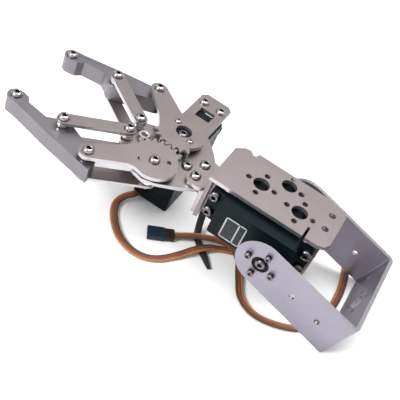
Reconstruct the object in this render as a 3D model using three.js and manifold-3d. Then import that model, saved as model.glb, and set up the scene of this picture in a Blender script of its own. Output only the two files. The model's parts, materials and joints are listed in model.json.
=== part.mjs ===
// Two-finger robot gripper on a servo-driven tilt wrist, hinged in a long U bracket.
// Millimetres, +Z up. The assembly lies on a table (z = 0) on the U bracket's lower edge and on
// the foot of the gripper servo. +X runs from the fingertips to the U bracket.
//
// The wrist has a frame of its own: origin on the tilt axis, +X to the U bracket, +Y along the
// tilt axis away from its horn, +Z normal to the gripper plates.

import * as THREE from 'three';
import { mergeVertices } from 'three/addons/utils/BufferGeometryUtils.js';
import Module from 'manifold-3d';

const wasm = await Module();
wasm.setup();

const degree = Math.PI / 180;

// ---- driving dimensions ----

const SHEET = 2;                 // aluminium sheet
const GAP = 0.3;                 // air between neighbouring pieces

const U = { width: 25.4, reach: 51, near: -28.5, far: 27.5, bend: 3, pitch: 15.3 };
const HORN_PITCH_RADIUS = 7;     // four horn screws on a 14 mm circle

const SERVO = {
  length: 40.7, width: 19.7, height: 36.4, shaftOffset: 10,
  earSpan: 54.5, earBottom: 26.8, earThick: 2.5, earHoleX: 24.75, earHoleY: 5,
  bottomHeight: 8, topHeight: 6.8,
};
const TILT_SERVO_BOTTOM_Y = 18.6;
const GRIP_SERVO_TOP_Z = -1;

const SIDE_PLATE = { left: -40.7, right: 21.5, near: -10.6, far: 21.9, top: 13.6 };
const REAR_FLANGE = { left: -29.5, right: 12, bottom: -9.5 };
const END_FLANGE_BOTTOM = -13;

const GEAR_X = -66.8;            // the two gear axes, in the wrist frame
const GEAR = { pitchRadius: 14.35, teeth: 24, addendum: 0.9, dedendum: 1.3, backlash: 0.35 };
const ARM = { length: 30.9, angle: 35.6, endRadius: 4.4, discRadius: 11.5 };
const LINK = { forward: 19.8, lateral: 5.2, radius: 3.4 };
const FINGER_PIVOT = { forward: 19.8, inward: 9.3 };
const TIP_SCREW = { forward: 46.2, inward: 9.6 };

const UPPER = { bottom: 4.6, top: 6.6 };     // upper arms and links
const FINGER = { bottom: -6.4, top: 2.2 };
const BASE = { bottom: -0.7, top: 1.3 };
const LOWER = { bottom: -8.4, top: -6.7 };   // lower arm and links

const BOLT_RADIUS = 1.5;
const BOLT_HOLE = 1.75;
const HEAD = { radius: 2.7, height: 1.7 };
const SPACER_RADIUS = 3;

// ---- where the wrist stands ----

const uPitch = U.pitch * degree;
const footX = GEAR_X + SERVO.width / 2;
const footZ = GRIP_SERVO_TOP_Z - SERVO.height;
const heelX = U.reach * Math.cos(uPitch) - (U.width / 2) * Math.sin(uPitch);
const heelZ = -U.reach * Math.sin(uPitch) - (U.width / 2) * Math.cos(uPitch);
const wristPitch = Math.atan2(heelZ - footZ, heelX - footX);
const axisHeight = heelX * Math.sin(wristPitch) - heelZ * Math.cos(wristPitch);
const AXIS = new THREE.Vector3(45.03, -9.13, axisHeight);

// ---- materials ----

const metal = (color, roughness) => new THREE.MeshStandardMaterial({ color, roughness, metalness: 1 });
const plastic = (color, roughness) => new THREE.MeshStandardMaterial({ color, roughness, metalness: 0 });
const aluminium = metal(0xb9b3b6, 0.42);
const fingerAluminium = metal(0xaaa6ab, 0.5);
const steel = metal(0xd6d4d0, 0.25);
const brass = metal(0xc8a860, 0.35);
const black = plastic(0x17181a, 0.4);
const white = plastic(0xe6e4dc, 0.5);
const green = plastic(0x1f5a35, 0.6);
const ribbon = plastic(0x8a4a24, 0.6);
const nylon = plastic(0x1c1a1b, 0.5);
const plugPlastic = plastic(0x1a2430, 0.45);

// ---- solids and booleans ----

function toSolid(geometry) {
  const bare = geometry.clone();
  bare.deleteAttribute('normal');
  bare.deleteAttribute('uv');
  const merged = mergeVertices(bare, 1e-4);
  return new wasm.Manifold(new wasm.Mesh({
    numProp: 3,
    vertProperties: new Float32Array(merged.attributes.position.array),
    triVerts: new Uint32Array(merged.index.array),
  }));
}

function toGeometry(solid) {
  const mesh = solid.getMesh();
  const geometry = new THREE.BufferGeometry();
  geometry.setAttribute('position', new THREE.BufferAttribute(new Float32Array(mesh.vertProperties), 3));
  geometry.setIndex(new THREE.BufferAttribute(new Uint32Array(mesh.triVerts), 1));
  return geometry;
}

function join(...geometries) {
  return toGeometry(geometries.map(toSolid).reduce((sum, solid) => sum.add(solid)));
}

function cut(geometry, ...tools) {
  return toGeometry(tools.map(toSolid).reduce((rest, tool) => rest.subtract(tool), toSolid(geometry)));
}

function common(first, second) {
  return toGeometry(toSolid(first).intersect(toSolid(second)));
}

function prism(shape, bottom, top, curveSegments) {
  const settings = { depth: top - bottom, bevelEnabled: false, curveSegments };
  return new THREE.ExtrudeGeometry(shape, settings).translate(0, 0, bottom);
}

// A flat plate of the shape, with its holes cut as prisms of their own.
function slab(shape, bottom, top, curveSegments = 8) {
  const openings = shape.holes.map((hole) => {
    const points = hole.getPoints(curveSegments);
    const closed = points[0].distanceTo(points[points.length - 1]) < 1e-6;
    return prism(new THREE.Shape(closed ? points.slice(0, -1) : points), bottom - 1, top + 1, curveSegments);
  });
  const solid = shape.clone();
  solid.holes = [];
  const plate = prism(solid, bottom, top, curveSegments);
  return openings.length ? cut(plate, ...openings) : plate;
}

function block(low, high) {
  const size = high.map((value, i) => value - low[i]);
  const centre = high.map((value, i) => (value + low[i]) / 2);
  return new THREE.BoxGeometry(...size).translate(...centre);
}

function rod(radius, start, end, axis = 'z', at = [0, 0], sides = 16) {
  const geometry = new THREE.CylinderGeometry(radius, radius, end - start, sides);
  if (axis === 'z') geometry.rotateX(90 * degree);
  if (axis === 'x') geometry.rotateZ(-90 * degree);
  const middle = (start + end) / 2;
  const place = { x: [middle, at[0], at[1]], y: [at[0], middle, at[1]], z: [at[0], at[1], middle] }[axis];
  return geometry.translate(...place);
}

function addHole(shape, x, y, radius) {
  const hole = new THREE.Path();
  hole.absarc(x, y, radius, 0, 2 * Math.PI, true);
  shape.holes.push(hole);
}

function outline(points) {
  return new THREE.Shape(points.map(([x, y]) => new THREE.Vector2(x, y)));
}

function ring(radius, hole, bottom, top) {
  const shape = new THREE.Shape();
  shape.absarc(0, 0, radius, 0, 2 * Math.PI, false);
  addHole(shape, 0, 0, hole);
  return slab(shape, bottom, top, 8);
}

function stadium(length, radius) {
  const shape = new THREE.Shape();
  shape.absarc(0, 0, radius, 90 * degree, 270 * degree, false);
  shape.absarc(length, 0, radius, -90 * degree, 90 * degree, false);
  shape.closePath();
  return shape;
}

function roundedRectangle(x0, y0, x1, y1, radius) {
  const shape = new THREE.Shape();
  shape.absarc(x1 - radius, y0 + radius, radius, -90 * degree, 0, false);
  shape.absarc(x1 - radius, y1 - radius, radius, 0, 90 * degree, false);
  shape.absarc(x0 + radius, y1 - radius, radius, 90 * degree, 180 * degree, false);
  shape.absarc(x0 + radius, y0 + radius, radius, 180 * degree, 270 * degree, false);
  shape.closePath();
  return shape;
}

// A pan-head screw along -Z, with the underside of its head at z = 0.
function screw(length, radius = BOLT_RADIUS, head = HEAD) {
  const profile = [
    [0, -length], [radius, -length], [radius, 0], [head.radius, 0],
    [head.radius, head.height * 0.5], [head.radius * 0.72, head.height], [0, head.height],
  ];
  return new THREE.LatheGeometry(profile.map(([x, y]) => new THREE.Vector2(x, y)), 10).rotateX(90 * degree);
}

// ---- scene graph ----

const robot = new THREE.Group();
const wrist = new THREE.Group();
wrist.position.copy(AXIS);
wrist.rotation.y = wristPitch;
const forearm = new THREE.Group();
forearm.position.copy(AXIS);
forearm.rotation.y = wristPitch + uPitch;
const gripper = new THREE.Group();
gripper.position.set(GEAR_X, 0, 0);
wrist.add(gripper);
const table = new THREE.Group();
table.position.set(AXIS.x, AXIS.y, 0);
robot.add(wrist, forearm, table);

function add(parent, name, geometry, material, position = [0, 0, 0], turn = [0, 0, 0]) {
  const mesh = new THREE.Mesh(geometry, material);
  mesh.name = name;
  mesh.position.set(...position);
  mesh.rotation.set(...turn);
  parent.add(mesh);
  return mesh;
}

// ---- U bracket ----

function uBracket() {
  const { near, far, reach, bend, width } = U;
  const inner = bend - SHEET;
  const section = new THREE.Shape();
  section.moveTo(-width / 2, near);
  section.absarc(reach - bend, near + bend, bend, -90 * degree, 0, false);
  section.absarc(reach - bend, far - bend, bend, 0, 90 * degree, false);
  section.lineTo(-width / 2, far);
  section.lineTo(-width / 2, far - SHEET);
  section.absarc(reach - bend, far - bend, inner, 90 * degree, 0, true);
  section.absarc(reach - bend, near + bend, inner, 0, -90 * degree, true);
  section.lineTo(-width / 2, near + SHEET);
  const bent = slab(section, -width / 2, width / 2, 3);
  const side = new THREE.Shape();
  side.absarc(0, 0, width / 2, 90 * degree, 270 * degree, false);
  side.lineTo(reach + 1, -width / 2);
  side.lineTo(reach + 1, width / 2);
  const silhouette = slab(side, -40, 40, 12).rotateX(90 * degree);
  const holes = [];
  for (const [x, z] of [[1, 0], [-1, 0], [0, 1], [0, -1]]) {
    const at = [x * HORN_PITCH_RADIUS, z * HORN_PITCH_RADIUS];
    holes.push(rod(1.6, near - 1, near + SHEET + 1, 'y', at, 12));
    holes.push(rod(1.6, far - SHEET - 1, far + 1, 'y', at, 12));
    holes.push(rod(1.6, reach - SHEET - 1, reach + 1, 'x', at, 12));
  }
  holes.push(rod(4.3, near - 1, near + SHEET + 1, 'y', [0, 0], 24));
  holes.push(rod(BOLT_HOLE, far - SHEET - 1, far + 1, 'y', [0, 0], 16));
  holes.push(rod(4, reach - SHEET - 1, reach + 1, 'x', [0, 0], 24));
  for (const x of [20.2, 36.4]) {
    holes.push(rod(1.5, near - 1, near + SHEET + 1, 'y', [x, 0], 12));
    holes.push(rod(1.5, far - SHEET - 1, far + 1, 'y', [x, 0], 12));
  }
  for (const y of [-20, 20]) holes.push(rod(1.5, reach - SHEET - 1, reach + 1, 'x', [y, 0], 12));
  return cut(common(bent, silhouette), ...holes);
}

// ---- servo bracket: side plate, end flange, rear flange and four ear tabs ----

function servoBracket() {
  const { left, right, near, far, top } = SIDE_PLATE;
  const plate = outline([
    [left, near], [8.6, near], [8.6, near + 7.5], [10, near + 7.5], [10, near], [right - 5, near],
    [right - 1.5, near + 1.5], [right, near + 5], [right, far - 5.5], [right - 1.5, far - 2.4],
    [right - 5, far - 1.4], [REAR_FLANGE.right + 1.6, far - 1.4], [REAR_FLANGE.right, far],
    [REAR_FLANGE.left, far], [-30.5, far - 3], [-32, far - 3], [-34, far - 1], [-37, far - 1.6], [left, far - 5.5],
  ]);
  const horn = HORN_PITCH_RADIUS;
  for (const [x, y] of [[-20.1, 4.2], [1.9, 1.9]]) {
    addHole(plate, x, y, 4.2);
    for (const [dx, dy] of [[1, 0], [-1, 0], [0, 1], [0, -1]]) addHole(plate, x + dx * horn, y + dy * horn, 1.5);
  }
  addHole(plate, -9, 13.9, 4);
  addHole(plate, -2.2, 13.4, 1.6);
  addHole(plate, -9.5, 19.4, 1.2);
  addHole(plate, 15.7, 1.8, 1.8);
  addHole(plate, 15.4, 12.4, 1.8);
  const tabBack = TILT_SERVO_BOTTOM_Y - SERVO.earBottom + GAP;
  const pieces = [slab(plate, top - SHEET, top)];
  pieces.push(block([left, near, END_FLANGE_BOTTOM], [left + SHEET, far - 6, top - 0.5]));
  pieces.push(block([REAR_FLANGE.left, far - SHEET, REAR_FLANGE.bottom], [REAR_FLANGE.right, far, top - 0.5]));
  for (const side of [-1, 1]) {
    const middle = -SERVO.shaftOffset + side * (SERVO.earHoleX + 0.5);
    const low = [middle - 3.4, tabBack, -9.6];
    const high = [middle + 3.4, tabBack + SHEET, top - 0.5];
    pieces.push(block(low, high));
  }
  const holes = [rod(BOLT_HOLE, far - SHEET - 1, far + 1, 'y', [0, 0], 16)];
  for (const y of [-2, 6]) holes.push(rod(1.6, left - 1, left + SHEET + 1, 'x', [y, -5], 12));
  for (const side of [-1, 1]) {
    for (const z of [-SERVO.earHoleY, SERVO.earHoleY]) {
      const x = -SERVO.shaftOffset + side * SERVO.earHoleX;
      holes.push(rod(BOLT_HOLE, tabBack - 1, tabBack + SHEET + 1, 'y', [x, z], 12));
    }
  }
  return cut(join(...pieces), ...holes);
}

// ---- L bracket between the servo bracket and the gripper base ----

const TAIL_SCREWS = [[-48.2, -5], [-48.2, 5]];
const TAIL_CENTRE_SCREW = [-55.2, 0];

function lBracket() {
  const right = SIDE_PLATE.left - GAP;
  const bottom = BASE.top + GAP;
  const flange = roundedRectangle(-52, -10.5, right, 10.5, 4);
  for (const [x, y] of TAIL_SCREWS) addHole(flange, x, y, BOLT_HOLE);
  const upright = block([right - SHEET, -8, -14], [right, 8, bottom + 0.5]);
  const holes = [-2, 6].map((y) => rod(1.6, right - SHEET - 1, right + 1, 'x', [y, -5], 12));
  return cut(join(slab(flange, bottom, bottom + SHEET), upright), ...holes);
}

// ---- gripper base plate, in the gripper frame (forward is -X) ----

function basePlate() {
  const points = [
    [24.4, -3.6], [24.4, 3.6], [21, 9], [13, 13], [9, 22], [9, 54], [6.5, 56.6], [-6.5, 56.6], [-9, 54], [-9, 27],
    [-16, 20], [-23.4, 10], [-23.4, -8.5], [-17, -14.5], [-6, -21.5], [0, -23.5], [6, -22], [10, -17], [21, -9],
  ];
  const plate = outline(points.map(([forward, lateral]) => [-forward, lateral]));
  addHole(plate, 0, GEAR.pitchRadius, 7);
  addHole(plate, 0, -GEAR.pitchRadius, BOLT_HOLE);
  for (const side of [-1, 1]) addHole(plate, -LINK.forward, side * LINK.lateral, BOLT_HOLE);
  for (const [x, y] of [...TAIL_SCREWS, TAIL_CENTRE_SCREW]) addHole(plate, x - GEAR_X, y, BOLT_HOLE);
  const earY = GEAR.pitchRadius + SERVO.shaftOffset + SERVO.earHoleX;
  for (const x of [-SERVO.earHoleY, SERVO.earHoleY]) addHole(plate, x, earY, BOLT_HOLE);
  const window = new THREE.Path();
  window.moveTo(-4.2, 36.5);
  window.lineTo(-4.2, 44.5);
  window.lineTo(4.2, 44.5);
  window.lineTo(4.2, 36.5);
  plate.holes.push(window);
  return slab(plate, BASE.bottom, BASE.top);
}

// ---- servos, drawn with the output shaft along +Z at the origin and the foot at z = 0 ----

function servoBlock(bottom, top, inset = 0) {
  const half = SERVO.length / 2 - inset;
  const centre = -SERVO.shaftOffset;
  const shape = roundedRectangle(centre - half, -SERVO.width / 2 + inset, centre + half, SERVO.width / 2 - inset, 1.2);
  return slab(shape, bottom, top, 2);
}

function servoBottomCase() {
  return cut(servoBlock(0, SERVO.bottomHeight - GAP), servoBlock(2, SERVO.bottomHeight, 1.5));
}

function servoMiddleCase() {
  const top = SERVO.height - SERVO.topHeight - GAP;
  const centre = -SERVO.shaftOffset;
  const half = SERVO.earSpan / 2;
  const ears = roundedRectangle(centre - half, -SERVO.width / 2 + 0.6, centre + half, SERVO.width / 2 - 0.6, 2);
  for (const side of [-1, 1]) {
    for (const y of [-SERVO.earHoleY, SERVO.earHoleY]) addHole(ears, centre + side * SERVO.earHoleX, y, 2);
  }
  const flange = slab(ears, SERVO.earBottom, SERVO.earBottom + SERVO.earThick, 4);
  const body = join(servoBlock(SERVO.bottomHeight, top), flange);
  return cut(body, servoBlock(SERVO.bottomHeight - 1, top - 2, 1.5), rod(3.6, top - 3, top + 1, 'z', [0, 0], 16));
}

function servoTopCase() {
  const bottom = SERVO.height - SERVO.topHeight;
  const shell = servoBlock(bottom, SERVO.height);
  const hollow = servoBlock(bottom - 1, SERVO.height - 1.6, 1.6);
  return cut(shell, hollow, rod(3.6, SERVO.height - 3, SERVO.height + 1, 'z', [0, 0], 16));
}

function servoMotor() {
  return rod(8, 3.5, 23, 'z', [-20.5, 0], 12);
}

function servoBoard() {
  return block([-27.5, -7.4, 2.3], [7.6, 7.4, 3.2]);
}

function servoShaft(reach) {
  const profile = [[0, 14], [1.6, 14], [1.6, 23.2], [3, 23.2], [3, reach], [0, reach]];
  const shaft = new THREE.LatheGeometry(profile.map(([x, y]) => new THREE.Vector2(x, y)), 14).rotateX(90 * degree);
  return join(shaft, rod(7, 30, 31.6, 'z', [0, 0], 24));
}

function servoHorn(bottom, top) {
  const hub = rod(3.9, bottom, top - 1, 'z', [0, 0], 16);
  return cut(join(hub, rod(10, top - 2, top, 'z', [0, 0], 24)), rod(1.6, top - 3.5, top + 1, 'z', [0, 0], 10));
}

function addServo(name, place, hornBottom, hornTop) {
  const servo = new THREE.Group();
  place(servo);
  wrist.add(servo);
  add(servo, `${name}_bottom_case`, servoBottomCase(), black);
  add(servo, `${name}_middle_case`, servoMiddleCase(), black);
  add(servo, `${name}_top_case`, servoTopCase(), black);
  add(servo, `${name}_motor`, servoMotor(), steel);
  add(servo, `${name}_board`, servoBoard(), green);
  add(servo, `${name}_output_shaft`, servoShaft(hornBottom - GAP), brass);
  add(servo, `${name}_horn`, servoHorn(hornBottom, hornTop), black);
}

// ---- gripper arms, links and fingers ----

function involute(baseRadius, radius) {
  const ratio = Math.sqrt((radius / baseRadius) ** 2 - 1);
  return ratio - Math.atan(ratio);
}

// Points of the gear teeth whose centres lie between two angles, on increasing angle.
function gearTeeth(firstTooth, count) {
  const { pitchRadius, teeth, addendum, dedendum, backlash } = GEAR;
  const base = pitchRadius * Math.cos(20 * degree);
  const halfPitch = Math.PI / teeth / 2 - backlash / 2 / pitchRadius;
  const flank = [pitchRadius - 0.45, pitchRadius, pitchRadius + addendum];
  const halfAngle = (radius) => halfPitch + involute(base, pitchRadius) - involute(base, radius);
  const points = [];
  for (let i = 0; i < count; i += 1) {
    const centre = firstTooth + (i * 2 * Math.PI) / teeth;
    const rootHalf = halfAngle(flank[0]) + 0.02;
    points.push([pitchRadius - dedendum, centre - rootHalf]);
    for (const radius of flank) points.push([radius, centre - halfAngle(radius)]);
    for (const radius of [...flank].reverse()) points.push([radius, centre + halfAngle(radius)]);
    points.push([pitchRadius - dedendum, centre + rootHalf]);
  }
  return points.map(([radius, angle]) => [radius * Math.cos(angle), radius * Math.sin(angle)]);
}

// Outline of a gear arm: +X to the finger pivot, +Y to the other gear, at the rest angle.
function armShape(toothPhase) {
  const pitch = (2 * Math.PI) / GEAR.teeth;
  const mesh = 90 * degree + ARM.angle * degree;
  const first = mesh - 4 * pitch + toothPhase * pitch;
  const shape = new THREE.Shape();
  shape.absarc(ARM.length, 0, ARM.endRadius, -90 * degree, 80 * degree, false);
  shape.lineTo(14, 7.6);
  shape.lineTo(6.4, 10.8);
  for (const [x, y] of gearTeeth(first, 7)) shape.lineTo(x, y);
  shape.absarc(0, 0, ARM.discRadius, 168 * degree, 305 * degree, false);
  shape.lineTo(9.5, -6);
  shape.lineTo(13, -ARM.endRadius);
  shape.closePath();
  addHole(shape, ARM.length, 0, BOLT_HOLE);
  for (const x of [-HORN_PITCH_RADIUS, HORN_PITCH_RADIUS]) addHole(shape, x, 0, 1.2);
  return shape;
}

function fingerShape() {
  const shape = new THREE.Shape();
  shape.moveTo(-5.4, -6);
  shape.lineTo(22, -0.6);
  shape.lineTo(42.6, 4.6);
  shape.absarc(46, 9.2, 4.4, -60 * degree, 110 * degree, false);
  shape.lineTo(41.4, 12.6);
  shape.lineTo(39, 9.6);
  shape.lineTo(28, 7.8);
  shape.lineTo(23.8, 10.8);
  shape.absarc(FINGER_PIVOT.forward, FINGER_PIVOT.inward, 4.2, 20 * degree, 110 * degree, false);
  shape.lineTo(-1.5, 4.4);
  shape.absarc(0, 0, 4.6, 108 * degree, 170 * degree, false);
  shape.closePath();
  addHole(shape, 0, 0, BOLT_HOLE);
  addHole(shape, FINGER_PIVOT.forward, FINGER_PIVOT.inward, BOLT_HOLE + 0.15);
  addHole(shape, TIP_SCREW.forward, TIP_SCREW.inward, BOLT_HOLE);
  return shape;
}

// Turns a shape drawn with +X forward and +Y inward into the gripper frame, for one side.
function toSide(geometry, side) {
  const flip = new THREE.Matrix4().makeScale(-1, -side, 1);
  const placed = geometry.clone().applyMatrix4(flip);
  if (side > 0) return placed;
  const index = mergeVertices(placed).index;
  const merged = mergeVertices(placed);
  const turned = new Uint32Array(index.count);
  for (let i = 0; i < index.count; i += 3) {
    turned[i] = index.getX(i);
    turned[i + 1] = index.getX(i + 2);
    turned[i + 2] = index.getX(i + 1);
  }
  merged.setIndex(new THREE.BufferAttribute(turned, 1));
  return merged;
}

const armAngle = ARM.angle * degree;
const armReach = [ARM.length * Math.cos(armAngle), ARM.length * Math.sin(armAngle)];

// A point in the gripper frame, from its distance forward and outward on one side.
function place(side, forward, outward, z = 0) {
  return [-forward, side * outward, z];
}

function addJaw(name, side) {
  const turn = [0, 0, -side * armAngle];
  const gearCentre = place(side, 0, GEAR.pitchRadius);
  const linkCentre = place(side, LINK.forward, LINK.lateral);
  const outer = [armReach[0], GEAR.pitchRadius + armReach[1]];
  const inner = [LINK.forward + armReach[0], LINK.lateral + armReach[1]];
  const tip = [outer[0] + TIP_SCREW.forward, outer[1] - TIP_SCREW.inward];

  const arm = armShape(side > 0 ? 0.5 : 0);
  addHole(arm, 0, 0, side > 0 ? 4.2 : BOLT_HOLE);
  add(gripper, `${name}_gear_arm`, toSide(slab(arm, UPPER.bottom, UPPER.top), side), aluminium, gearCentre, turn);

  const link = stadium(ARM.length, LINK.radius);
  addHole(link, 0, 0, BOLT_HOLE);
  addHole(link, ARM.length, 0, BOLT_HOLE);
  const upper = slab(link, UPPER.bottom, UPPER.top, 6);
  const lower = slab(link, LOWER.bottom, LOWER.top, 6);
  add(gripper, `${name}_upper_link`, toSide(upper, side), aluminium, linkCentre, turn);
  add(gripper, `${name}_lower_link`, toSide(lower, side), aluminium, linkCentre, turn);

  const finger = slab(fingerShape(), FINGER.bottom, FINGER.top, 6);
  add(gripper, `${name}_finger`, toSide(finger, side), fingerAluminium, place(side, ...outer));

  const headSeat = UPPER.top + GAP;
  const spacer = ring(SPACER_RADIUS, BOLT_HOLE, FINGER.top + GAP, UPPER.bottom - GAP);
  add(gripper, `${name}_outer_spacer`, spacer, steel, place(side, ...outer));
  add(gripper, `${name}_inner_spacer`, spacer, steel, place(side, ...inner));
  const throughBolt = screw(headSeat - LOWER.bottom + 0.8);
  add(gripper, `${name}_inner_finger_bolt`, throughBolt, steel, place(side, ...inner, headSeat));
  add(gripper, `${name}_link_bolt`, throughBolt, steel, place(side, LINK.forward, LINK.lateral, headSeat));
  const outerLength = headSeat - (side < 0 ? LOWER.bottom - 0.8 : FINGER.bottom + 1);
  add(gripper, `${name}_outer_finger_bolt`, screw(outerLength), steel, place(side, ...outer, headSeat));
  add(gripper, `${name}_tip_screw`, screw(7), steel, place(side, ...tip, FINGER.top + GAP));
  const below = ring(SPACER_RADIUS, BOLT_HOLE, LOWER.top + GAP, BASE.bottom - GAP);
  const above = ring(SPACER_RADIUS, BOLT_HOLE, BASE.top + GAP, UPPER.bottom - GAP);
  add(gripper, `${name}_link_spacer`, above, steel, linkCentre);
  add(gripper, `${name}_link_post`, below, steel, linkCentre);
}

function addLeftGearSupport() {
  const centre = place(-1, 0, GEAR.pitchRadius);
  const headSeat = UPPER.top + GAP;
  const lower = stadium(ARM.length, 4.2);
  addHole(lower, 0, 0, BOLT_HOLE);
  addHole(lower, ARM.length, 0, BOLT_HOLE);
  const lowerArm = toSide(slab(lower, LOWER.bottom, LOWER.top, 6), -1);
  add(gripper, 'left_lower_arm', lowerArm, aluminium, centre, [0, 0, armAngle]);
  add(gripper, 'left_gear_spacer', ring(4, BOLT_HOLE, BASE.top + GAP, UPPER.bottom - GAP), steel, centre);
  add(gripper, 'left_gear_post', ring(4, BOLT_HOLE, LOWER.top + GAP, BASE.bottom - GAP), steel, centre);
  const bolt = screw(headSeat - LOWER.bottom + 0.8);
  add(gripper, 'left_gear_bolt', bolt, steel, place(-1, 0, GEAR.pitchRadius, headSeat));
}

// ---- servo leads and cable tie ----
// Their routes are measured from the point of the table under the tilt axis, with z above the table.

const RIBBON = { width: 4, thickness: 1.3, rest: 0.95, steps: 40 };
const PLUG = { length: 14, width: 7.6, height: 2.6 };
const TIE = { width: 3.6, thickness: 1.1, steps: 14 };

const onTable = ([x, y, z = RIBBON.rest]) => new THREE.Vector3(x, y, z);

// From the foot of the gripper servo, round on the table, over the tie, under the tilt servo and
// into a flat coil behind the side plate, with its plug in the middle.
const GRIP_LEAD = [
  [-77.4, 3, 4.4], [-78.8, 0.4, 4.1], [-81.9, -2.4, 2.6], [-83.3, -7.2, 1.4], [-81.4, -12.9], [-77.6, -18.6],
  [-71.6, -24.9], [-65.5, -28.7], [-59, -30.6], [-52.3, -30], [-46.2, -26.2], [-39.6, -17.9, 1.5],
  [-36.2, -13.2, 2.6], [-33, -8.9, 3], [-30, -5.2, 2.5], [-26.4, -1.6, 1.1], [-19.9, 1.4], [-11, 4], [-4.4, 9],
  [-3.2, 16.4], [-8, 22.8], [-16.6, 26.6], [-21.2, 34], [-22, 43.4], [-27.6, 51.4], [-38, 54.2], [-47.6, 48.6],
  [-50.2, 38.6], [-46.6, 30.8], [-40.2, 28.6], [-36.4, 31.2], [-35.2, 35.4],
].map(onTable);

// From the end of the tilt servo down to the table, round behind the far leg, under both legs of
// the U bracket and back over the other lead to its plug by the L bracket.
const TILT_LEAD = [
  [11, 14, 29.4], [14, 14.2, 28.2], [16, 14.5, 24], [16.3, 15, 16], [15.8, 15.8, 8.6], [13, 17, 3.9], [8.6, 18.8, 1.9],
  [5.2, 22.8, 1.2], [3.2, 28.4], [-1.4, 33.4], [-8.4, 37.4], [-12.6, 44], [-9.4, 51], [0.4, 54.2], [13, 54.2], [24.4, 50.8],
  [30.6, 42], [33.4, 29.8], [35.2, 22], [36.4, 13], [36.6, 4], [35.6, -5.4], [32.6, -14.4], [27.2, -22.2],
  [20.2, -26], [12.4, -28], [4.6, -27.6], [-3.4, -22.4], [-9.6, -12.2, 1.6], [-14.6, -3.4, 3], [-21, 1.4, 3.6],
  [-28.6, 1, 3.6], [-37.2, -3, 3.7], [-43, -6, 2.8], [-48, -8.8, 1.6],
].map(onTable);

const TIE_ROUTE = [
  [-41.2, 3.6, 19], [-41, 3.4, 12], [-40.8, 2.8, 5], [-39.6, 0.2, 1.1], [-36.1, -4.5, 0.85], [-28.6, -12, 0.85],
  [-24.2, -16.4, 0.85],
].map(onTable);

// A strip with cut corners, run back along a route from its far end, which lies flat.
function strip(route, width, thickness, steps) {
  const [x, y] = [thickness / 2, width / 2];
  const section = outline([
    [x, y * 0.75], [x * 0.5, y], [-x * 0.5, y], [-x, y * 0.75],
    [-x, -y * 0.75], [-x * 0.5, -y], [x * 0.5, -y], [x, -y * 0.75],
  ]);
  const extrudePath = new THREE.CatmullRomCurve3([...route].reverse(), false, 'centripetal');
  return new THREE.ExtrudeGeometry(section, { steps, extrudePath, bevelEnabled: false });
}

// A plug that carries on where a lead ends.
function addPlug(name, route) {
  const end = route[route.length - 1];
  const heading = end.clone().sub(route[route.length - 2]);
  const angle = Math.atan2(heading.y, heading.x);
  const body = block([GAP, -PLUG.width / 2, 0], [PLUG.length, PLUG.width / 2, PLUG.height]);
  add(table, name, body, plugPlastic, [end.x, end.y, GAP], [0, 0, angle]);
}

// ---- assembly ----

add(forearm, 'u_bracket', uBracket(), aluminium);
add(wrist, 'servo_bracket', servoBracket(), aluminium);
add(wrist, 'wrist_l_bracket', lBracket(), aluminium);
add(gripper, 'gripper_base_plate', basePlate(), aluminium);

addServo('tilt_servo', (servo) => {
  servo.position.set(0, TILT_SERVO_BOTTOM_Y, 0);
  servo.rotation.set(90 * degree, 0, 0);
}, 38.6, TILT_SERVO_BOTTOM_Y - U.near - SHEET - GAP);

addServo('grip_servo', (servo) => {
  servo.position.set(GEAR_X, GEAR.pitchRadius, footZ);
  servo.rotation.set(0, 0, -90 * degree);
}, -footZ + BASE.bottom + 0.5, -footZ + UPPER.bottom - GAP);

const hornScrew = () => screw(3, 1.3, { radius: 2.6, height: 1.3 });
add(wrist, 'tilt_horn_screw', hornScrew(), steel, [0, U.near + SHEET, 0], [90 * degree, 0, 0]);
add(wrist, 'grip_horn_screw', hornScrew(), steel, [GEAR_X, GEAR.pitchRadius, UPPER.bottom]);

const pivotHead = U.far + GAP;
add(wrist, 'rear_pivot_bolt', screw(pivotHead - SIDE_PLATE.far + SHEET), steel, [0, pivotHead, 0], [-90 * degree, 0, 0]);
const bushing = ring(5, BOLT_HOLE, SIDE_PLATE.far + GAP, U.far - SHEET - GAP).rotateX(-90 * degree);
add(wrist, 'rear_bushing', bushing, brass);

const flangeTop = BASE.top + GAP + SHEET + GAP;
TAIL_SCREWS.forEach(([x, y], i) => {
  add(wrist, `wrist_screw_${i + 1}`, screw(6), steel, [x, y, flangeTop]);
});
add(wrist, 'tail_screw', screw(4), steel, [...TAIL_CENTRE_SCREW, BASE.top + GAP]);

addJaw('left', -1);
addJaw('right', 1);
addLeftGearSupport();

add(table, 'grip_servo_lead', strip(GRIP_LEAD, RIBBON.width, RIBBON.thickness, RIBBON.steps), ribbon);
add(table, 'tilt_servo_lead', strip(TILT_LEAD, RIBBON.width, RIBBON.thickness, RIBBON.steps), ribbon);
addPlug('grip_servo_plug', GRIP_LEAD);
addPlug('tilt_servo_plug', TILT_LEAD);
add(table, 'cable_tie', strip(TIE_ROUTE, TIE.width, TIE.thickness, TIE.steps), nylon);

export default robot;
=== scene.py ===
"""The looks of a two-finger robot gripper on a servo-driven tilt wrist, lying on a pale table.

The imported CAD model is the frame. Its plates keep their shape and get rounded edges and metal
finishes; screws, spacers, leads, plugs and the cable tie are rebuilt in detail in the same places.
Sizes below are in millimetres; the stage and Blender's own settings are in metres.
"""

import json
import math

import bmesh
import bpy
from mathutils import Matrix, Vector


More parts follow.
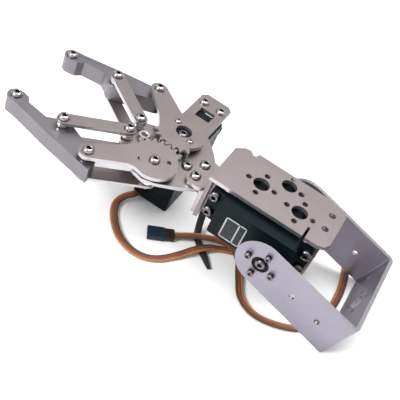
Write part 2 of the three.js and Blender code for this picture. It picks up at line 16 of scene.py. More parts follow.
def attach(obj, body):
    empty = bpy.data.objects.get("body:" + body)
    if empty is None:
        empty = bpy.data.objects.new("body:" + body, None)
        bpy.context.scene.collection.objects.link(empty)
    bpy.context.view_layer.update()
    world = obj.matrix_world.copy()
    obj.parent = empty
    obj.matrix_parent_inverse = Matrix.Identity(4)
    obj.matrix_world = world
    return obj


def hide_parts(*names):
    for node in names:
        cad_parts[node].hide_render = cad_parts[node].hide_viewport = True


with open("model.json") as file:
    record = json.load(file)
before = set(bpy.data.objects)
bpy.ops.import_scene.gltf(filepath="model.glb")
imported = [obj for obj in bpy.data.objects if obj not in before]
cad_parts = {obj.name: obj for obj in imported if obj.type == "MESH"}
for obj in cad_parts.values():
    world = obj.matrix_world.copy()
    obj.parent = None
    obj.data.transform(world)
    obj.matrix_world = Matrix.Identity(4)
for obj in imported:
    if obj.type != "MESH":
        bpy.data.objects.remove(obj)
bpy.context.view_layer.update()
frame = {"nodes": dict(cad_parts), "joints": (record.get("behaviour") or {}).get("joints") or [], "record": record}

MM = 0.001
TAU = 2 * math.pi

# ---- frames of the wrist, the U bracket, the gripper and the table ----

joints = {joint["name"]: joint for joint in frame["joints"]}
mounts = {mount["name"]: mount for mount in frame["record"]["mounts"]}


def frame_of(origin, across, up):
    """A frame in millimetres at origin, with +Y across and +Z up."""
    along = across.cross(up)
    turn = Matrix((along, across, up)).transposed().to_4x4()
    return Matrix.Translation(origin) @ turn @ Matrix.Scale(MM, 4)


ACROSS = Vector((0, 1, 0))
tilt_axis = Vector(joints["wrist_tilt"]["pos_m"])
wrist_up = Vector(joints["grip"]["axis"]).normalized()
u_outward = Vector(mounts["u_web_back"]["axis"]).normalized()
u_width = u_outward.cross(ACROSS)
WRIST = frame_of(tilt_axis, ACROSS, wrist_up)
FOREARM = frame_of(tilt_axis, ACROSS, u_width)
gear_axis = WRIST.inverted() @ Vector(joints["grip"]["pos_m"])
GRIPPER = WRIST @ Matrix.Translation((gear_axis.x, 0, 0))
TABLE = Matrix.Translation((tilt_axis.x, tilt_axis.y, 0)) @ Matrix.Scale(MM, 4)

# ---- driving dimensions, the same as in the CAD ----

SHEET = 2
HORN_PITCH_RADIUS = 7
SERVO = {
    "length": 40.7, "width": 19.7, "height": 36.4, "bottom_height": 8, "top_height": 6.8, "shaft_offset": 10,
    "ear_hole_x": 24.75, "ear_hole_y": 5, "ear_bottom": 26.8, "ear_thick": 2.5,
}
TILT_SERVO_BOTTOM_Y = 18.6
GRIP_SERVO_TOP_Z = -1
U_NEAR, U_FAR = -28.5, 27.5
UPPER_BOTTOM, UPPER_TOP = 4.6, 6.6
FINGER_BOTTOM, FINGER_TOP = -6.4, 2.2
BASE_BOTTOM, BASE_TOP = -0.7, 1.3
LOWER_BOTTOM, LOWER_TOP = -8.4, -6.7
SIDE_PLATE_TOP = 13.6
L_BRACKET_FACE_X, FLANGE_SCREW_Z = -43, -5
REAR_FLANGE_Y = 21.9
WRIST_SCREW_X, WRIST_SCREW_Y, TAIL_SCREW_X = -48.2, 5, -55.2
NUT = {"across": 5, "height": 2, "hole": 1.45}
SPACER_RADIUS, POST_RADIUS, BUSHING_RADIUS, SPACER_HOLE = 3, 4, 5, 1.75
GAP = 0.3
TOUCH = 0.02    # keeps the faces of touching pieces apart
PITCH_RADIUS = gear_axis.y
ARM_LENGTH, ARM_ANGLE = 30.9, math.radians(35.6)
LINK_FORWARD, LINK_LATERAL = 19.8, 5.2
TIP_SCREW = (46.2, 9.6)
RIBBON = {"width": 4, "thickness": 1.3, "rest": 0.95}
PLUG = {"length": 14, "width": 7.6, "height": 2.6}
TIE = {"width": 3.6, "thickness": 1.1}

# ---- materials ----


def new_material(name):
    material = bpy.data.materials.new(name)
    material.use_nodes = True
    nodes = material.node_tree.nodes
    nodes.clear()
    output = nodes.new("ShaderNodeOutputMaterial")
    shader = nodes.new("ShaderNodeBsdfPrincipled")
    material.node_tree.links.new(shader.outputs["BSDF"], output.inputs["Surface"])
    return material, shader


def place_coordinates(material, scale=(1, 1, 1)):
    """Object coordinates, stretched."""
    nodes, links = material.node_tree.nodes, material.node_tree.links
    coordinates = nodes.new("ShaderNodeTexCoord")
    mapping = nodes.new("ShaderNodeMapping")
    mapping.inputs["Scale"].default_value = scale
    links.new(coordinates.outputs["Object"], mapping.inputs["Vector"])
    return mapping.outputs["Vector"]


def noise(material, vector, scale, detail):
    node = material.node_tree.nodes.new("ShaderNodeTexNoise")
    node.inputs["Scale"].default_value = scale
    node.inputs["Detail"].default_value = detail
    node.inputs["Roughness"].default_value = 0.6
    material.node_tree.links.new(vector, node.inputs["Vector"])
    return node.outputs["Fac"]


def ramp(owner, factor, stops):
    """A colour ramp of (place, colour or grey value) stops, in a material or the world."""
    node = owner.node_tree.nodes.new("ShaderNodeValToRGB")
    elements = node.color_ramp.elements
    while len(elements) < len(stops):
        elements.new(0.5)
    for element, (place, colour) in zip(elements, stops):
        element.position = place
        grey = isinstance(colour, (int, float))
        element.color = (colour,) * 3 + (1,) if grey else (*colour, 1)
    owner.node_tree.links.new(factor, node.inputs["Fac"])
    return node.outputs["Color"]


def bump(material, shader, height, strength, distance):
    node = material.node_tree.nodes.new("ShaderNodeBump")
    node.inputs["Strength"].default_value = strength
    node.inputs["Distance"].default_value = distance
    material.node_tree.links.new(height, node.inputs["Height"])
    material.node_tree.links.new(node.outputs["Normal"], shader.inputs["Normal"])


def darker(colour, share):
    return tuple(value * share for value in colour)


def blasted_metal(name, colour, roughness, stretch=(1, 1, 1)):
    """Satin metal: a fine blasted grain, drawn out by stretch, over broad uneven patches."""
    material, shader = new_material(name)
    links = material.node_tree.links
    vector = place_coordinates(material, stretch)
    plain = place_coordinates(material)
    patches = noise(material, plain, scale=55, detail=4)
    fine = noise(material, vector, scale=2600, detail=2)
    tone = ramp(material, patches, [(0.25, darker(colour, 0.9)), (0.55, colour), (0.8, darker(colour, 1.06))])
    links.new(tone, shader.inputs["Base Color"])
    rough = ramp(material, fine, [(0.3, roughness - 0.07), (0.7, roughness + 0.09)])
    links.new(rough, shader.inputs["Roughness"])
    shader.inputs["Metallic"].default_value = 0.9
    bump(material, shader, fine, strength=0.35, distance=0.00003)
    return material


def bright_metal(name, colour, roughness):
    """Turned or rolled metal with faint marks."""
    material, shader = new_material(name)
    links = material.node_tree.links
    marks = noise(material, place_coordinates(material, (1, 1, 4)), scale=900, detail=4)
    tone = ramp(material, marks, [(0.3, darker(colour, 0.8)), (0.65, colour)])
    links.new(tone, shader.inputs["Base Color"])
    rough = ramp(material, marks, [(0.3, roughness + 0.12), (0.7, roughness)])
    links.new(rough, shader.inputs["Roughness"])
    shader.inputs["Metallic"].default_value = 1
    bump(material, shader, marks, strength=0.12, distance=0.00003)
    return material


def moulded_plastic(name, colour, roughness, shine=0.3):
    """Moulded plastic with a fine spark-eroded grain and slightly worn patches."""
    material, shader = new_material(name)
    links = material.node_tree.links
    vector = place_coordinates(material)
    worn = noise(material, vector, scale=120, detail=5)
    fine = noise(material, vector, scale=1800, detail=2)
    tone = ramp(material, worn, [(0.3, darker(colour, 0.75)), (0.6, colour), (0.85, darker(colour, 1.5))])
    links.new(tone, shader.inputs["Base Color"])
    rough = ramp(material, worn, [(0.3, roughness + 0.1), (0.75, roughness - 0.06)])
    links.new(rough, shader.inputs["Roughness"])
    shader.inputs["Specular IOR Level"].default_value = shine
    bump(material, shader, fine, strength=0.25, distance=0.00004)
    return material


PLATE = blasted_metal("plate_aluminium", (0.27, 0.238, 0.235), 0.38)
LEG = blasted_metal("leg_aluminium", (0.315, 0.295, 0.355), 0.42)
FINGER = blasted_metal("finger_aluminium", (0.215, 0.203, 0.222), 0.36, stretch=(0.35, 1, 1))
# A lighter metal for the plates' cut faces: a painted highlight along their edges.
EDGE_HIGHLIGHT = blasted_metal("painted_edge_highlight", (0.50, 0.48, 0.50), 0.3)
STEEL = bright_metal("bright_steel", (0.46, 0.44, 0.435), 0.15)
TURNED = bright_metal("turned_steel", (0.74, 0.72, 0.71), 0.2)
DARK_STEEL = bright_metal("dark_steel", (0.2, 0.19, 0.2), 0.24)
# Near-black steel for the screws' sockets and the plugs' contact openings: painted shade in these recesses.
RECESS_SHADE = bright_metal("recess_painted_shade", (0.035, 0.033, 0.035), 0.5)
BRASS = bright_metal("turned_brass", (0.78, 0.6, 0.30), 0.26)
CAN = bright_metal("motor_can", (0.6, 0.6, 0.62), 0.3)
BLACK = moulded_plastic("servo_black", (0.0045, 0.0085, 0.0105), 0.34, 0.1)
HORN = moulded_plastic("horn_black", (0.008, 0.008, 0.009), 0.40, 0.16)
BOARD = moulded_plastic("circuit_board", (0.03, 0.16, 0.07), 0.4)
PLUG_FRONT = moulded_plastic("plug_front", (0.011, 0.028, 0.042), 0.35)
PLUG_REAR = moulded_plastic("plug_rear", (0.022, 0.015, 0.014), 0.45)
NYLON = moulded_plastic("tie_nylon", (0.03, 0.024, 0.026), 0.45)
LABEL = moulded_plastic("label_dark", (0.014, 0.018, 0.021), 0.32)
LABEL_EDGE = moulded_plastic("label_edge", (0.42, 0.43, 0.42), 0.4)
BROWN = moulded_plastic("wire_brown", (0.095, 0.048, 0.03), 0.42)
RED = moulded_plastic("wire_red", (0.22, 0.072, 0.036), 0.40)
ORANGE = moulded_plastic("wire_orange", (0.37, 0.17, 0.072), 0.40)

# ---- mesh work ----


def new_piece(name, body, mesh, place, materials):
    """A mesh drawn in millimetres in a frame, put in its place and riding on a CAD body."""
    mesh.transform(place)
    if place.determinant() < 0:
        mesh.flip_normals()
    piece = bpy.data.objects.new(name, mesh)
    bpy.context.scene.collection.objects.link(piece)
    for material in materials:
        mesh.materials.append(material)
    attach(piece, body)
    return piece


def finished(bm, smooth_angle=35):
    bmesh.ops.recalc_face_normals(bm, faces=bm.faces)
    mesh = bpy.data.meshes.new("mesh")
    bm.to_mesh(mesh)
    bm.free()
    mesh.shade_smooth()
    mesh.set_sharp_from_angle(angle=math.radians(smooth_angle))
    return mesh


def circle(bm, radius, height, sides):
    """Vertices around +Z, or a single one where the radius is zero."""
    if radius < 1e-6:
        return [bm.verts.new((0, 0, height))]
    angles = [i * TAU / sides for i in range(sides)]
    return [bm.verts.new((radius * math.cos(a), radius * math.sin(a), height)) for a in angles]


def lathe(profile, sides, dark_from):
    """A closed solid of revolution about +Z; faces from profile segment dark_from on take slot 1."""
    bm = bmesh.new()
    rings = [circle(bm, radius, height, sides) for radius, height in profile]
    for segment, (low, high) in enumerate(zip(rings, rings[1:])):
        for i in range(sides):
            k = (i + 1) % sides
            corners = [low[i % len(low)], low[k % len(low)], high[k % len(high)], high[i % len(high)]]
            corners = [v for j, v in enumerate(corners) if v not in corners[:j]]
            face = bm.faces.new(corners)
            if segment >= dark_from:
                face.material_index = 1
    return finished(bm)


def close_rings(bm, rings):
    """Faces from each ring of vertices to the next, and from the last back to the first."""
    for low, high in zip(rings, rings[1:] + rings[:1]):
        for i in range(len(low)):
            k = (i + 1) % len(low)
            bm.faces.new((low[i], low[k], high[k], high[i]))


def loop_lathe(profile):
    """A ring about +Z: the profile closes on itself."""
    bm = bmesh.new()
    close_rings(bm, [circle(bm, radius, height, 32) for radius, height in profile])
    return finished(bm)


def rounded_block(low, high, radius, segments=3):
    bm = bmesh.new()
    bmesh.ops.create_cube(bm, size=1)
    size = [b - a for a, b in zip(low, high)]
    centre = [(a + b) / 2 for a, b in zip(low, high)]
    bmesh.ops.scale(bm, vec=size, verts=bm.verts)
    bmesh.ops.translate(bm, vec=centre, verts=bm.verts)
    sharp = bm.edges[:] + bm.verts[:]
    bmesh.ops.bevel(bm, geom=sharp, offset=radius, segments=segments, affect="EDGES", profile=0.5)
    return finished(bm)


def merged(*parts):
    """One mesh from (mesh, material index) pairs."""
    bm = bmesh.new()
    for mesh, index in parts:
        before = len(bm.faces)
        bm.from_mesh(mesh)
        bm.faces.ensure_lookup_table()
        for face in bm.faces[before:]:
            face.material_index = index
        bpy.data.meshes.remove(mesh)
    return finished(bm)


def moved(mesh, x=0, y=0, z=0, turn=None):
    """The mesh turned, then shifted."""
    if turn is not None:
        mesh.transform(turn)
    mesh.transform(Matrix.Translation((x, y, z)))
    return mesh


# ---- fasteners ----

HORN_SCREW = {"length": 3, "shank": 1.3, "head": 2.6, "height": 1.3}
ARM_SCREW = {"length": 2.1, "shank": 1.1, "head": 1.7, "height": 1.1, "socket": 0.6}
LEG_SCREW = {"length": 3.4, "shank": 1.2, "head": 1.6, "height": 0.7, "socket": 0.7}
TILT_EAR_SCREW = {"length": 7.5, "head": 2.9, "height": 1.9}
FLANGE_SCREW = {"length": 5.6, "head": 2.5, "height": 1.5}
CASE_SCREW = {"length": 2, "shank": 0.8, "head": 1.5, "height": 0.22, "socket": 0.7}
TIP_LENGTH, WRIST_LENGTH, TAIL_LENGTH, GRIP_EAR_LENGTH = 7, 6, 4, 14.6
SEAT = UPPER_TOP + GAP
BELOW_NUT = 0.6
THROUGH_LENGTH = SEAT - LOWER_BOTTOM + NUT["height"] + BELOW_NUT
RING_NUT_PROFILE = [(1.5, 0), (3, 0), (3, 2.2), (2.6, 2.8), (1.8, 2.8), (1.5, 2.4)]
RING_NUT_FORWARD = 13.6


def cap_screw(length, shank=1.5, head=2.7, height=1.7, socket=1.15):
    """A button-head socket screw along -Z, its underside at z = 0."""
    depth = height * 0.62
    outside = [
        (0, -length), (shank * 0.8, -length), (shank, -length + 0.4), (shank, 0), (head, 0),
        (head, height * 0.3), (head * 0.94, height * 0.62), (head * 0.78, height * 0.88),
        (head * 0.55, height),
    ]
    inside = [
        (socket * 1.15, height), (socket, height - 0.15), (socket * 0.9, height - depth), (0, height - depth),
    ]
    # The socket's faces take slot 1, near-black: painted shade in the recess.
    return lathe(outside + inside, 28, dark_from=len(outside) + 1)


def nut():
    """A hexagon nut sitting on z = 0, with its edges broken."""
    bm = bmesh.new()
    corner, height = NUT["across"] / math.sqrt(3), NUT["height"]
    levels = [(0.93, 0), (1, 0.25), (1, height - 0.25), (0.93, height)]
    rings = [circle(bm, share * corner, z, 6) for share, z in levels]
    rings += [circle(bm, NUT["hole"], z, 6) for z in (height, 0)]
    close_rings(bm, rings)
    return finished(bm, 25)


def add_nut(name, body, place, top):
    """A nut whose upper face is against z = top."""
    seat = place @ Matrix.Translation((0, 0, top - NUT["height"] - TOUCH))
    new_piece(name, body, nut(), seat, [STEEL])


def extra_screw(name, body, place, metal=STEEL, **sizes):
    """A detailed screw; its sizes are those of cap_screw."""
    return new_piece(name, body, cap_screw(**sizes), place, [metal, RECESS_SHADE])


def screw_piece(node, body, place, metal=STEEL, **sizes):
    """The detailed screw that stands for a CAD screw."""
    piece = extra_screw(f"{node}_detail", body, place, metal, **sizes)
    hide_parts(node)


def ring_piece(node, body, place, radius, bottom, top, material=TURNED):
    """The turned ring that stands for a CAD spacer."""
    edge = 0.25
    profile = [(SPACER_HOLE, bottom), (radius - edge, bottom), (radius, bottom + edge), (radius, top - edge)]
    profile += [(radius - edge, top), (SPACER_HOLE, top)]
    piece = new_piece(f"{node}_detail", body, loop_lathe(profile), place, [material])
    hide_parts(node)


def on_gripper(side, forward, outward, z=0):
    """A place on the gripper, outward to the left where side is -1 and to the right where it is 1."""
    return GRIPPER @ Matrix.Translation((-forward, side * outward, z))


def add_jaw_hardware(name, side):
    """Screws, nuts and spacers of one finger and its links. Only the left side has a lower arm."""
    reach = (ARM_LENGTH * math.cos(ARM_ANGLE), ARM_LENGTH * math.sin(ARM_ANGLE))
    outer = (reach[0], PITCH_RADIUS + reach[1])
    inner = (LINK_FORWARD + reach[0], LINK_LATERAL + reach[1])
    link = (LINK_FORWARD, LINK_LATERAL)
    tip = (outer[0] + TIP_SCREW[0], outer[1] - TIP_SCREW[1])
    finger, base = f"{name}_finger", "wrist"
    nuts = [("inner_finger_nut", finger, inner), ("link_nut", base, link)]
    outer_length = SEAT - FINGER_BOTTOM - 1
    if name == "left":
        nuts.append(("outer_finger_nut", finger, outer))
        outer_length = THROUGH_LENGTH
    for part, body, place in nuts:
        add_nut(f"{name}_{part}", body, on_gripper(side, *place), LOWER_BOTTOM)
    screws = [("inner_finger_bolt", finger, inner, SEAT, THROUGH_LENGTH),
              ("outer_finger_bolt", finger, outer, SEAT, outer_length),
              ("tip_screw", finger, tip, FINGER_TOP + GAP, TIP_LENGTH),
              ("link_bolt", base, link, SEAT, THROUGH_LENGTH)]
    for part, body, place, seat, length in screws:
        screw_piece(f"{name}_{part}", body, on_gripper(side, *place, seat), length=length)
    spacers = [("outer_spacer", finger, outer, FINGER_TOP + GAP, UPPER_BOTTOM - GAP),
               ("inner_spacer", finger, inner, FINGER_TOP + GAP, UPPER_BOTTOM - GAP),
               ("link_spacer", base, link, BASE_TOP + GAP, UPPER_BOTTOM - GAP),
               ("link_post", base, link, LOWER_TOP + GAP, BASE_BOTTOM - GAP)]
    for part, body, place, bottom, top in spacers:
        ring_piece(f"{name}_{part}", body, on_gripper(side, *place), SPACER_RADIUS, bottom, top)


def add_gripper_hardware():
    left = on_gripper(-1, 0, PITCH_RADIUS)
    screw_piece("left_gear_bolt", "wrist", left @ Matrix.Translation((0, 0, SEAT)), length=THROUGH_LENGTH)
    add_nut("left_gear_nut", "wrist", left, LOWER_BOTTOM)
    ring_piece("left_gear_spacer", "wrist", left, POST_RADIUS, BASE_TOP + GAP, UPPER_BOTTOM - GAP)
    ring_piece("left_gear_post", "wrist", left, POST_RADIUS, LOWER_TOP + GAP, BASE_BOTTOM - GAP)
    horn_seat = on_gripper(1, 0, PITCH_RADIUS, UPPER_BOTTOM)
    screw_piece("grip_horn_screw", "right_arm", horn_seat, DARK_STEEL, **HORN_SCREW)
    add_arm_screws()
    add_base_hardware()


def add_arm_screws():
    """The two small screws that hold the right gear arm to the servo's horn."""
    turn = Matrix.Rotation(-ARM_ANGLE, 4, "Z")
    for i, along in enumerate((-HORN_PITCH_RADIUS, HORN_PITCH_RADIUS)):
        place = on_gripper(1, 0, PITCH_RADIUS) @ turn @ Matrix.Translation((-along, 0, UPPER_TOP + TOUCH))
        extra_screw(f"right_arm_screw_{i + 1}", "right_arm", place, **ARM_SCREW)


def add_base_hardware():
    """Ear screws, nuts and spacers of the gripper servo, and a ring nut on the base plate."""
    ear_y = PITCH_RADIUS + SERVO["shaft_offset"] + SERVO["ear_hole_x"]
    ear_top = GRIP_SERVO_TOP_Z - SERVO["height"] + SERVO["ear_bottom"] + SERVO["ear_thick"]
    low, high, hole = ear_top + 0.1, BASE_BOTTOM - 0.1, 1.6
    for i, x in enumerate((-SERVO["ear_hole_y"], SERVO["ear_hole_y"])):
        place = GRIPPER @ Matrix.Translation((x, ear_y, 0))
        spacer = loop_lathe([(hole, low), (SPACER_RADIUS, low), (SPACER_RADIUS, high), (hole, high)])
        new_piece(f"grip_ear_spacer_{i + 1}", "wrist", spacer, place, [TURNED])
        seat = place @ Matrix.Translation((0, 0, BASE_TOP + TOUCH))
        extra_screw(f"grip_ear_screw_{i + 1}", "wrist", seat, length=GRIP_EAR_LENGTH)
        add_nut(f"grip_ear_nut_{i + 1}", "wrist", place, ear_top - SERVO["ear_thick"])
    place = on_gripper(1, RING_NUT_FORWARD, 0, BASE_TOP + TOUCH)
    new_piece("base_ring_nut", "wrist", loop_lathe(RING_NUT_PROFILE), place, [TURNED])


# ---- wrist and U bracket fasteners ----

SIDEWAYS = Matrix.Rotation(math.radians(90), 4, "X")      # a screw's head towards -Y
AWAY = Matrix.Rotation(math.radians(-90), 4, "X")         # a screw's head towards +Y


def add_wrist_hardware():
    seat = BASE_TOP + GAP + SHEET + GAP
    for i, y in enumerate((-WRIST_SCREW_Y, WRIST_SCREW_Y)):
        place = WRIST @ Matrix.Translation((WRIST_SCREW_X, y, seat))
        screw_piece(f"wrist_screw_{i + 1}", "wrist", place, length=WRIST_LENGTH)
    place = WRIST @ Matrix.Translation((TAIL_SCREW_X, 0, BASE_TOP + GAP))
    screw_piece("tail_screw", "wrist", place, length=TAIL_LENGTH)
    far_seat = U_FAR + GAP
    place = WRIST @ Matrix.Translation((0, far_seat, 0)) @ AWAY
    screw_piece("rear_pivot_bolt", "wrist", place, length=far_seat - REAR_FLANGE_Y + SHEET)
    low, high = REAR_FLANGE_Y + GAP, U_FAR - SHEET - GAP
    ring_piece("rear_bushing", "wrist", WRIST @ AWAY, BUSHING_RADIUS, low, high, BRASS)
    place = WRIST @ Matrix.Translation((0, U_NEAR + SHEET, 0)) @ SIDEWAYS
    screw_piece("tilt_horn_screw", "forearm", place, DARK_STEEL, **HORN_SCREW)
    add_horn_leg_screws()
    add_ear_screws()
    add_flange_screws()


def add_horn_leg_screws():
    """Four screws that hold the U bracket's near leg to the tilt servo's horn."""
    for i, (x, z) in enumerate(((1, 0), (-1, 0), (0, 1), (0, -1))):
        at = (x * HORN_PITCH_RADIUS, U_NEAR - TOUCH, z * HORN_PITCH_RADIUS)
        place = FOREARM @ Matrix.Translation(at) @ SIDEWAYS
        extra_screw(f"leg_screw_{i + 1}", "forearm", place, DARK_STEEL, **LEG_SCREW)


def add_ear_screws():
    """Four screws with nuts that hold the tilt servo's ears to the bracket's tabs."""
    face = TILT_SERVO_BOTTOM_Y - SERVO["ear_bottom"] - SERVO["ear_thick"]
    tab_back = face + SERVO["ear_thick"] + GAP + SHEET
    for i, side in enumerate((-1, 1)):
        for k, z in enumerate((-SERVO["ear_hole_y"], SERVO["ear_hole_y"])):
            x = -SERVO["shaft_offset"] + side * SERVO["ear_hole_x"]
            place = WRIST @ Matrix.Translation((x, face - TOUCH, z)) @ SIDEWAYS
            extra_screw(f"tilt_ear_screw_{2 * i + k + 1}", "wrist", place, DARK_STEEL, **TILT_EAR_SCREW)
            back = WRIST @ Matrix.Translation((x, tab_back + TOUCH, z)) @ AWAY
            new_piece(f"tilt_ear_nut_{2 * i + k + 1}", "wrist", nut(), back, [STEEL])


def add_flange_screws():
    """Two screws through the L bracket into the servo bracket's end flange."""
    turn = Matrix.Rotation(math.radians(-90), 4, "Y")
    for i, y in enumerate((-2, 6)):
        place = WRIST @ Matrix.Translation((L_BRACKET_FACE_X - TOUCH, y, FLANGE_SCREW_Z)) @ turn
        extra_screw(f"flange_screw_{i + 1}", "wrist", place, **FLANGE_SCREW)


# ---- servo details ----

CASE_SCREW_INSET = 2.6
OUTLET = {"half_width": 2.9, "bottom": 3.1, "top": 6.1, "length": 1.8, "rounding": 0.6}
OUTLET_SHIFT = {"tilt_servo": 0, "grip_servo": -7}


def servo_frame(servo):
    """The servo's own frame: output shaft along +Z at the origin, foot at z = 0."""
    if servo == "tilt_servo":
        return WRIST @ Matrix.Translation((0, TILT_SERVO_BOTTOM_Y, 0)) @ SIDEWAYS
    foot = Matrix.Translation((0, PITCH_RADIUS, GRIP_SERVO_TOP_Z - SERVO["height"]))
    return GRIPPER @ foot @ Matrix.Rotation(math.radians(-90), 4, "Z")


def add_case_screws(servo, place):
    """Four screws, almost flush, in the servo's foot."""
    inner_length = SERVO["length"] / 2 - CASE_SCREW_INSET
    inner_width = SERVO["width"] / 2 - CASE_SCREW_INSET
    for i, side in enumerate((-1, 1)):
        for k, across in enumerate((-1, 1)):
            at = (-SERVO["shaft_offset"] + side * inner_length, across * inner_width, -TOUCH)
            seat = place @ Matrix.Translation(at) @ Matrix.Rotation(math.pi, 4, "X")
            extra_screw(f"{servo}_case_screw_{2 * i + k + 1}", "wrist", seat, **CASE_SCREW)


def seam_liner(seam):
    """A dark lip inside the case walls that closes the gap below height seam to the light."""
    inset, thick, reach = 0.35, 0.9, 0.4
    x, y = SERVO["length"] / 2 - inset, SERVO["width"] / 2 - inset
    bars = [(-x, -y, x, -y + thick), (-x, y - thick, x, y), (-x, -y, -x + thick, y), (x - thick, -y, x, y)]
    low, high = seam - GAP - reach, seam + reach
    parts = [(rounded_block((x0, y0, low), (x1, y1, high), 0.1, 1), 0) for x0, y0, x1, y1 in bars]
    return moved(merged(*parts), -SERVO["shaft_offset"])


def add_servo_details(servo):
    """Case screws, the dark lips behind the case's seams, and the lead's outlet."""
    place = servo_frame(servo)
    add_case_screws(servo, place)
    for part, seam in (("bottom", SERVO["bottom_height"]), ("top", SERVO["height"] - SERVO["top_height"])):
        new_piece(f"{servo}_{part}_seam", "wrist", seam_liner(seam), place, [BLACK])
    end, half = SERVO["length"] / 2 - SERVO["shaft_offset"], OUTLET["half_width"]
    low, high = (end - TOUCH, -half, OUTLET["bottom"]), (end + OUTLET["length"], half, OUTLET["top"])
    outlet = moved(rounded_block(low, high, OUTLET["rounding"]), 0, OUTLET_SHIFT[servo], 0)
    new_piece(f"{servo}_lead_outlet", "wrist", outlet, place, [BLACK])


def add_label():
    """A blank label with a light frame on the tilt servo's front."""
    front = TILT_SERVO_BOTTOM_Y - SERVO["height"]
    low_x, high_x, low_z, high_z = -24.4, -13.2, -7.8, 5.4
    rim, split_x = 0.7, -17.6
    plate_face, rim_face, rim_back = front - 0.25, front - 0.34, front - 0.2
    plate = rounded_block((low_x, plate_face, low_z), (high_x, front - TOUCH, high_z), 0.1, 2)
    bars = [((low_x, low_z), (high_x, low_z + rim)), ((low_x, high_z - rim), (high_x, high_z)),
            ((low_x, low_z), (low_x + rim, high_z)), ((high_x - rim, low_z), (high_x, high_z)),
            ((split_x, low_z), (split_x + rim, high_z))]
    parts = [(plate, 0)]
    for (x0, z0), (x1, z1) in bars:
        parts.append((rounded_block((x0, rim_face, z0), (x1, rim_back, z1), 0.05, 1), 1))
    new_piece("tilt_servo_label", "wrist", merged(*parts), WRIST, [LABEL, LABEL_EDGE])


# ---- leads, plugs and cable tie, on the table under the tilt axis ----

# Points (x, y) lie on the table, and (x, y, z) above it.
GRIP_LEAD = [
    (-77.4, 3, 4.4), (-78.8, 0.4, 4.1), (-81.9, -2.4, 2.6), (-83.3, -7.2, 1.4), (-81.4, -12.9),
    (-77.6, -18.6), (-71.6, -24.9), (-65.5, -28.7), (-59, -30.6), (-52.3, -30), (-46.2, -26.2),
    (-39.6, -17.9, 1.5), (-36.2, -13.2, 2.6), (-33, -8.9, 3), (-30, -5.2, 2.5), (-26.4, -1.6, 1.1),
    (-19.9, 1.4), (-11, 4), (-4.4, 9), (-3.2, 16.4), (-8, 22.8), (-16.6, 26.6), (-21.2, 34), (-22, 43.4),
    (-27.6, 51.4), (-38, 54.2), (-47.6, 48.6), (-50.2, 38.6), (-46.6, 30.8), (-40.2, 28.6), (-36.4, 31.2),
    (-35.2, 35.4),
]
TILT_LEAD = [
    (11, 14, 29.4), (14, 14.2, 28.2), (16, 14.5, 24), (16.3, 15, 16), (15.8, 15.8, 8.6), (13, 17, 3.9),
    (8.6, 18.8, 1.9), (5.2, 22.8, 1.2), (3.2, 28.4), (-1.4, 33.4), (-8.4, 37.4), (-12.6, 44), (-9.4, 51),
    (0.4, 54.2), (13, 54.2), (24.4, 50.8), (30.6, 42), (33.4, 29.8), (35.2, 22), (36.4, 13), (36.6, 4),
    (35.6, -5.4), (32.6, -14.4), (27.2, -22.2), (20.2, -26), (12.4, -28), (4.6, -27.6), (-3.4, -22.4),
    (-9.6, -12.2, 1.6), (-14.6, -3.4, 3), (-21, 1.4, 3.6), (-28.6, 1, 3.6), (-37.2, -3, 3.7),
    (-43, -6, 2.8), (-48, -8.8, 1.6),
]
TIE_ROUTE = [
    (-41.2, 3.6, 19), (-41, 3.4, 12), (-40.8, 2.8, 5), (-39.6, 0.2, 1.1), (-36.1, -4.5, 0.85),
    (-28.6, -12, 0.85), (-24.2, -16.4, 0.85),
]
ROUTE_STEP = 1.2
CONTACT_PITCH = 2.5


def on_table(point):
    """A route's point; one without a height rests on the table."""
    return Vector((point[0], point[1], point[2] if len(point) > 2 else RIBBON["rest"]))


def centripetal(points, step):
    """Points about step apart on the centripetal Catmull-Rom curve through the points."""
    ends = [points[0] * 2 - points[1], *points, points[-1] * 2 - points[-2]]
    line = []
    for p0, p1, p2, p3 in zip(ends, ends[1:], ends[2:], ends[3:]):
        times = [0]
        for a, b in ((p0, p1), (p1, p2), (p2, p3)):
            times.append(times[-1] + math.sqrt((b - a).length))
        t0, t1, t2, t3 = times
        count = max(2, round((p2 - p1).length / step))
        for i in range(count):
            t = t1 + (t2 - t1) * i / count
            a1 = p0.lerp(p1, (t - t0) / (t1 - t0))
            a2 = p1.lerp(p2, (t - t1) / (t2 - t1))
            a3 = p2.lerp(p3, (t - t2) / (t3 - t2))
            b1 = a1.lerp(a2, (t - t0) / (t2 - t0))
            b2 = a2.lerp(a3, (t - t1) / (t3 - t1))
            line.append(b1.lerp(b2, (t - t1) / (t2 - t1)))
    return [*line, points[-1].copy()]


def flat_frames(line):
    """(point, across, normal) along a strip whose far end lies flat, turned as little as may be."""
    tangents = [(b - a).normalized() for a, b in zip(line, line[1:])]
    tangents.append(tangents[-1])
    normal = Vector((0, 0, 1))
    frames = []
    for point, tangent in zip(reversed(line), reversed(tangents)):
        normal = (normal - tangent * normal.dot(tangent)).normalized()
        frames.append((point, normal.cross(tangent), normal))
    return frames[::-1]


def swept(frames, section, material_of):
    """A closed tube along the frames; section gives its (across, normal) points at a share of the way."""
    bm = bmesh.new()
    rings = []
    for i, (point, across, normal) in enumerate(frames):
        outline = section(i / len(frames))
        rings.append([bm.verts.new(point + across * x + normal * y) for x, y in outline])
    count = len(rings[0])
    for low, high in zip(rings, rings[1:]):
        for i in range(count):
            face = bm.faces.new((low[i], low[(i + 1) % count], high[(i + 1) % count], high[i]))
            face.material_index = material_of(i)
    for ring in (rings[0], rings[-1]):
        bm.faces.new(ring)
    return finished(bm, 60)


